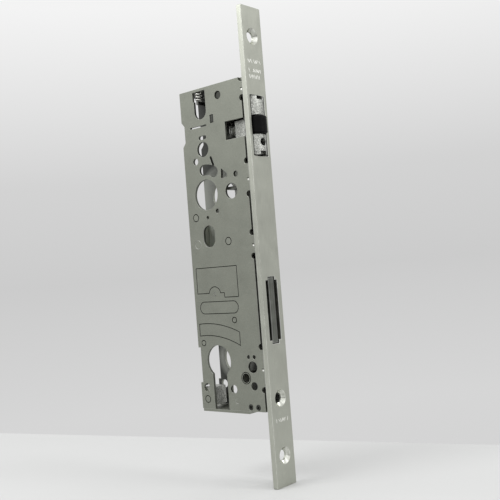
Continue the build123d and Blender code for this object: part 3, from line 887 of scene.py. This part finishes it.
@dataclass
class Case:
    """The two case plates, what is riveted and screwed between them, and the tabs' joints."""

    sheet_edges: BrokenEdges = field(default_factory=lambda: BrokenEdges(0.1, 2))
    pin_edges: BrokenEdges = field(default_factory=lambda: BrokenEdges(0.42, 1))
    block_edges: BrokenEdges = field(default_factory=lambda: BrokenEdges(0.3, 2))
    pins: tuple[str, ...] = (
        "upper_pillar", "rear_pillar", "centre_pillar", "bolt_guide_pin", "rear_stop_pin", "block_pin",
        "lower_spacer",
    )
    tab_middles: tuple[float, ...] = (145.4, 97.4, 62.4, -3.6)
    slit: Size = (1.7, 0.08, 0.42)
    nub: Size = (1.3, 0.08, 1.2)
    nub_drop: float = 0.9
    sheet: float = 1.5
    proud: float = 0.02
    wall_slack: float = 0.35
    least_groove: float = 0.3
    seam: float = 0.2

    def build(self) -> None:
        """Build every piece of the case."""
        # The inner faces take painted shade, lifted by painted light round the openings.
        inside = Region(INSIDE_PAINTED_SHADE, self.is_inside)
        # The grooves of the half-sheared outlines are painted near black as painted shade.
        grooves = Region(PAINTED_SHADE_BLACK, self.is_groove, keeps_edges=True)
        self.sheet_edges.copy_of("cover_plate", CASE_STEEL, regions=(inside, grooves), untouched=self.is_at_pin)
        self.sheet_edges.copy_of("case_body", CASE_STEEL, regions=(inside,), untouched=self.is_at_pin)
        for pin in self.pins:
            # Each pin's broken edges take painted shade, as a dark ring round the pin.
            self.pin_edges.copy_of(pin, DARK_STEEL_AND_SHADE if pin == "upper_pillar" else PIN_STEEL, PAINTED_SHADE_BLACK)
        self.block_edges.copy_of("cylinder_block", CAST_ZINC)
        self.block_edges.copy_of("bottom_block", CAST_ZINC)
        # The bottom screws' broken edges take painted shade too.
        self.sheet_edges.copy_of("bottom_screws", DARK_STEEL_AND_SHADE, PAINTED_SHADE_BLACK)
        self.tab_joints()

    def is_inside(self, face: bmesh.types.BMFace) -> bool:
        """Tell whether a face of the sheet looks into the case.

        Args:
            face: The face.

        Returns:
            True for the inner faces of the plates and walls.
        """
        low, high = node_box("case_body")
        room = high.y - self.sheet * MM + WELD
        margin = (self.sheet - self.wall_slack) * MM
        middle = face.calc_center_median()
        return (
            all(abs(corner.co.y) < room for corner in face.verts)
            and middle.x > low.x + margin
            and low.z + margin < middle.z < high.z - margin
        )

    def is_groove(self, face: bmesh.types.BMFace) -> bool:
        """Tell whether a face is the wall or floor of a half-sheared outline.

        Args:
            face: The face.

        Returns:
            True for faces that reach groove depth and stay in the sheet's outer half.
        """
        near = node_box("cover_plate")[0].y
        depths = [(corner.co.y - near) / MM for corner in face.verts]
        return self.least_groove < max(depths) < self.sheet / 2

    def is_at_pin(self, place: Vector) -> bool:
        """Tell whether a place lies in the seam round a riveted pin.

        Args:
            place: The place, in metres.

        Returns:
            True at the pins.
        """
        for pin in self.pins:
            low, high = node_box(pin)
            middle = (low + high) / 2
            if math.hypot(place.x - middle.x, place.z - middle.z) < (high.x - low.x) / 2 + self.seam * MM:
                return True
        return False

    def tab_joints(self) -> None:
        """Mark where each tab is split and swaged into the forend."""
        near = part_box("cover_plate")[0].y / MM
        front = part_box("cover_plate")[1].x / MM
        deep = near + self.slit[1] / 2 - self.proud
        slits = [spot(front - self.slit[0] / 2, deep, height) for height in self.tab_middles]
        nubs = [spot(front - self.nub[0] / 2, deep, height - self.nub_drop) for height in self.tab_middles]
        # The tab slits are painted near black as painted shade in the splits.
        dark = StrokePattern("tab_slit_tree", PAINTED_SHADE_BLACK)
        # The swaged nubs are painted near white as painted highlights.
        bright = StrokePattern("tab_nub_tree", PAINTED_GLINT)
        still = {"Tilt": 0.0, "Kept": 1.0, "Seed": 0}
        slit_size = [size * MM for size in self.slit]
        nub_size = [size * MM for size in self.nub]
        settle(dark.make("tab_slits", {"Stroke": slit_size, **still}, slits), "case")
        settle(bright.make("tab_nubs", {"Stroke": nub_size, **still}, nubs), "case")


@dataclass
class CoilSpring:
    """One coil spring that stands for its CAD tube; its still end is the one that it points along to."""

    node: str
    still_body: str
    moving_body: str
    along: Vector
    wire: float
    turns: float

    def build(self, pattern: CoilPattern) -> bpy.types.Object:
        """Wind the spring where its CAD tube lies.

        Args:
            pattern: The tree that winds coils.

        Returns:
            The spring.
        """
        low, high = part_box(self.node)
        centre = (low + high) / 2
        size = high - low
        length = abs(size.dot(self.along))
        across = (size - self.along * length).length / math.sqrt(2)
        values = {
            "Radius": across / 2 - self.wire * MM, "Wire": self.wire * MM, "Turns": self.turns,
            "Length": length - 2 * self.wire * MM, "Centre": list(centre),
            "Turn": list(self.along.to_track_quat("Z", "Y").to_euler()),
        }
        spring = pattern.make(f"{self.node}_coil", values, [])
        still = centre + self.along * (length / 2)
        moving = centre - self.along * (length / 2)
        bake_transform(spring)
        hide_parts(self.node)
        log.info("%s: %d faces between %s and %s", spring.name, len(spring.data.polygons),
                 self.still_body, self.moving_body)
        return spring


@dataclass
class DeadboltSet:
    """The deadbolt: a centre plate between two cheeks, riveted together."""

    edges: BrokenEdges = field(default_factory=lambda: BrokenEdges(0.25, 2))

    def build(self) -> None:
        """Build the bolt's plates and dress its rivets."""
        self.edges.copy_of("deadbolt", BOLT_STEEL)
        self.edges.copy_of("near_bolt_cheek", BOLT_STEEL)
        self.edges.copy_of("far_bolt_cheek", BOLT_STEEL)
        dress_node("bolt_rivets", PIN_STEEL)


@dataclass
class TumblerSet:
    """The tumbler that holds the bolt, its guides and its spring."""

    wire: float = 0.32
    turns: float = 6.5

    def build(self, pattern: CoilPattern) -> None:
        """Build the tumbler's pieces.

        Args:
            pattern: The tree that winds coils.
        """
        BrokenEdges(0.15, 2).copy_of("tumbler", SLIDE_STEEL)
        dress_node("tumbler_guides", PIN_STEEL)
        dress_node("tumbler_spring_seat", SLIDE_STEEL)
        up = Vector((0, 0, 1))
        CoilSpring("tumbler_spring", "case", "tumbler", up, self.wire, self.turns).build(pattern)


@dataclass
class RollerCatch:
    """The sprung catch: a cast holder with a nylon roller and an adjusting screw."""

    holder_edges: BrokenEdges = field(default_factory=lambda: BrokenEdges(0.3, 3))
    roller_radius: float = 4.997
    roller_bore: float = 1.6
    rim: float = 1.15
    rim_steps: int = 6
    ribs: int = 11
    rib_depth: float = 0.07
    facets: int = 96
    sharp_angle: float = 50.0
    wire: float = 0.36
    turns: float = 3.5

    def build(self, pattern: CoilPattern) -> None:
        """Build the catch's pieces.

        Args:
            pattern: The tree that winds coils.
        """
        self.holder_edges.copy_of("catch_holder", CAST_ZINC)
        # The adjusting screw is painted near black as painted shade in its recess.
        BrokenEdges(0.12, 2).copy_of("adjusting_screw", PAINTED_SHADE_BLACK)
        # The bracket is painted dark as painted shade behind the keyhole.
        BrokenEdges(0.15, 2).copy_of("catch_bracket", DARK_STEEL_AND_SHADE)
        dress_node("roller_pin", PIN_STEEL)
        dress_node("catch_drive_pin", PIN_STEEL)
        self.roller()
        inwards = Vector((-1, 0, 0))
        CoilSpring("catch_spring", "case", "catch", inwards, self.wire, self.turns).build(pattern)

    def roller(self) -> None:
        """Turn the ribbed roller round its pin."""
        low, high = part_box("catch_roller")
        half = (high.z - low.z) / MM / 2
        straight = half - self.rim
        outline = [(self.roller_bore, -half), (self.roller_bore, half)]
        outline += self.rounded_rim(straight, 1.0)
        samples = self.ribs * 4
        for sample in range(1, samples):
            height = straight - 2 * straight * sample / samples
            wave = 0.5 - 0.5 * math.cos(math.tau * sample / 4)
            outline.append((self.roller_radius - self.rib_depth * wave, height))
        outline += [(radius, height) for radius, height in reversed(self.rounded_rim(straight, -1.0))]
        piece = turned_ring("catch_roller_moulded", outline, (low + high) / 2, self.facets)
        piece.data.set_sharp_from_angle(angle=math.radians(self.sharp_angle))
        piece.data.materials.append(BLACK_NYLON.material())
        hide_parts("catch_roller")
        settle(piece, "roller")

    def rounded_rim(self, straight: float, side: float) -> list[tuple[float, float]]:
        """Give one rim's section from the end face to the rolling surface.

        Args:
            straight: Height where the rounding starts.
            side: 1 for the upper rim and -1 for the lower one.

        Returns:
            (radius, height) points.
        """
        points = []
        for step in range(self.rim_steps + 1):
            angle = math.pi / 2 * (1 - step / self.rim_steps)
            radius = self.roller_radius - self.rim + self.rim * math.cos(angle)
            points.append((radius, side * (straight + self.rim * math.sin(angle))))
        return points


@dataclass
class DrawSlide:
    """The slide that the catch draws down, its guides, and its return spring hooked over the case."""

    edges: BrokenEdges = field(default_factory=lambda: BrokenEdges(0.15, 2))
    wire: float = 0.4
    turns: float = 3.5
    loop_rise: float = 0.75
    loop_crown: float = 0.8
    loop_root: float = 1.2
    slot_depth: float = 0.9

    def build(self, pattern: CoilPattern) -> None:
        """Build the slide's pieces.

        Args:
            pattern: The tree that winds coils.
        """
        self.edges.copy_of("draw_slide", SLIDE_STEEL)
        dress_node("slide_guides", PIN_STEEL)
        up = Vector((0, 0, 1))
        CoilSpring("return_spring", "case", "slide", up, self.wire, self.turns).build(pattern)
        self.end_loop()

    def end_loop(self) -> None:
        """Hook the spring's upper end over the bridge between the two slots of the top wall."""
        low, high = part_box("return_spring")
        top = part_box("case_body")[1].z
        middle = (low + high) / 2
        reach = (high.x - low.x) / 2 - self.wire * MM
        crown = top + self.loop_rise * MM
        start = high.z - self.loop_root * MM
        below = top - self.slot_depth * MM
        heights = (start, below, crown, crown, below, start)
        sides = (-1.0, -1.0, -self.loop_crown, self.loop_crown, 1.0, 1.0)
        points = [Vector((middle.x + side * reach, middle.y, z)) for side, z in zip(sides, heights)]
        loop = swept_wire("return_spring_loop", points, self.wire, SPRING_STEEL)
        settle(loop, "case")


# Studio --------------------------------------------------------------------------------------------------


@dataclass
class AreaLight:
    """One soft light."""

    name: str
    place: Vector
    target: Vector
    size: float
    power: float

    def build(self) -> None:
        """Hang the light."""
        light = bpy.data.lights.new(self.name, "AREA")
        light.shape = "DISK"
        light.size = self.size
        light.energy = self.power
        hung = bpy.data.objects.new(self.name, light)
        bpy.context.scene.collection.objects.link(hung)
        hung.location = self.place
        hung.rotation_euler = (self.target - self.place).to_track_quat("-Z", "Y").to_euler()


@dataclass
class Studio:
    """A pale table, a soft sky of light, two lamps and the camera."""

    camera_place: Vector = field(default_factory=lambda: Vector((0.27079, -0.33067, -0.01358)))
    azimuth: float = 40.655
    pitch: float = 1.52
    roll: float = -4.464
    lens: float = 57.906
    table_turn: float = 14.8
    table_back: float = 0.1055
    table_depth: float = 1.6
    table_half_width: float = 1.6

    def build(self) -> None:
        """Set up the table, the light and the camera."""
        self.table()
        self.sky()
        aim = Vector((-0.02, 0.0, 0.0))
        AreaLight("key", Vector((-0.2, -0.42, 0.5)), aim + Vector((0, 0, 0.1)), 0.35, 1.6).build()
        AreaLight("side", Vector((0.8, 0.2, 0.55)), aim + Vector((0, 0, 0.1)), 0.35, 2.4).build()
        self.camera()
        bpy.context.scene.view_settings.view_transform = "Standard"

    def table(self) -> None:
        """Lay the pale table top under the lock."""
        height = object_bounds()[0].z
        along = Matrix.Rotation(math.radians(self.table_turn), 3, "Z")
        corners = (
            (-self.table_half_width, self.table_back), (-self.table_half_width, -self.table_depth),
            (self.table_half_width, -self.table_depth), (self.table_half_width, self.table_back),
        )
        mesh = bpy.data.meshes.new("table")
        laid = [along @ Vector((x, y, 0)) + Vector((0, 0, height)) for x, y in corners]
        mesh.from_pydata(laid, [], [(0, 1, 2, 3)])
        surface = Surface("pale_table", {"Roughness": 0.7, "Specular IOR Level": 0.2})
        cloud = surface.noise(120.0, detail=2.0)
        surface.drive("Base Color", surface.between(cloud, (0.53, 0.535, 0.53), (0.58, 0.583, 0.58)))
        mesh.materials.append(surface.material)
        new_object("table", mesh)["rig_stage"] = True

    def sky(self) -> None:
        """Light the room evenly, brighter overhead."""
        world = bpy.data.worlds.new("soft_sky")
        world.use_nodes = True
        world.node_tree.nodes.clear()
        graph = Graph(world.node_tree)
        direction = graph.node("ShaderNodeTexCoord").outputs["Generated"]
        parts = graph.node("ShaderNodeSeparateXYZ", inputs={0: direction})
        backdrop = [(0.0, 0.5), (0.42, 0.67), (0.5, 0.6), (0.56, 0.65), (0.66, 0.9), (1.0, 1.0)]
        room = [(0.0, 0.06), (0.38, 0.1), (0.5, 0.42), (0.6, 1.15), (1.0, 1.3)]
        height = Signal(graph, parts.outputs[2]) * 0.5 + 0.5
        side = (Signal(graph, parts.outputs[1]) * 4.0 + 0.5).held()
        near = graph.node("ShaderNodeValToRGB", {"stops": room}, {"Fac": height})
        far = graph.node("ShaderNodeValToRGB", {"stops": backdrop}, {"Fac": height})
        shares = {0: side, 6: near.outputs[0], 7: far.outputs[0]}
        joined = graph.node("ShaderNodeMix", {"data_type": "RGBA"}, shares)
        glow = graph.node("ShaderNodeBackground", inputs={"Color": joined.outputs[2], "Strength": 1.0})
        graph.node("ShaderNodeOutputWorld", inputs={"Surface": glow.outputs[0]})
        bpy.context.scene.world = world

    def camera(self) -> None:
        """Stand the camera in front of the lock's lower left."""
        azimuth, pitch, roll = (math.radians(angle) for angle in (self.azimuth, self.pitch, self.roll))
        reach = math.cos(pitch)
        ahead = Vector((-math.sin(azimuth) * reach, math.cos(azimuth) * reach, math.sin(pitch)))
        level = Vector((math.cos(azimuth), math.sin(azimuth), 0.0))
        upright = level.cross(ahead)
        right = level * math.cos(roll) + upright * math.sin(roll)
        above = upright * math.cos(roll) - level * math.sin(roll)
        camera = bpy.data.cameras.new("camera")
        camera.lens = self.lens
        camera.sensor_width = 36.0
        camera.clip_start = 0.01
        camera.dof.use_dof = False
        stand = bpy.data.objects.new("camera", camera)
        bpy.context.scene.collection.objects.link(stand)
        turned = Matrix((right, above, -ahead)).transposed().to_4x4()
        stand.matrix_world = Matrix.Translation(self.camera_place) @ turned
        bpy.context.scene.camera = stand


def main() -> None:
    """Build the studio and every sub-assembly of the lock."""
    logging.basicConfig(level=logging.INFO, format="%(message)s")
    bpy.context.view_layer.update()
    Studio().build()
    coils = CoilPattern(SPRING_STEEL)
    Forend().build()
    Case().build()
    DeadboltSet().build()
    TumblerSet().build(coils)
    RollerCatch().build(coils)
    DrawSlide().build(coils)


if __name__ == "__main__":
    main()
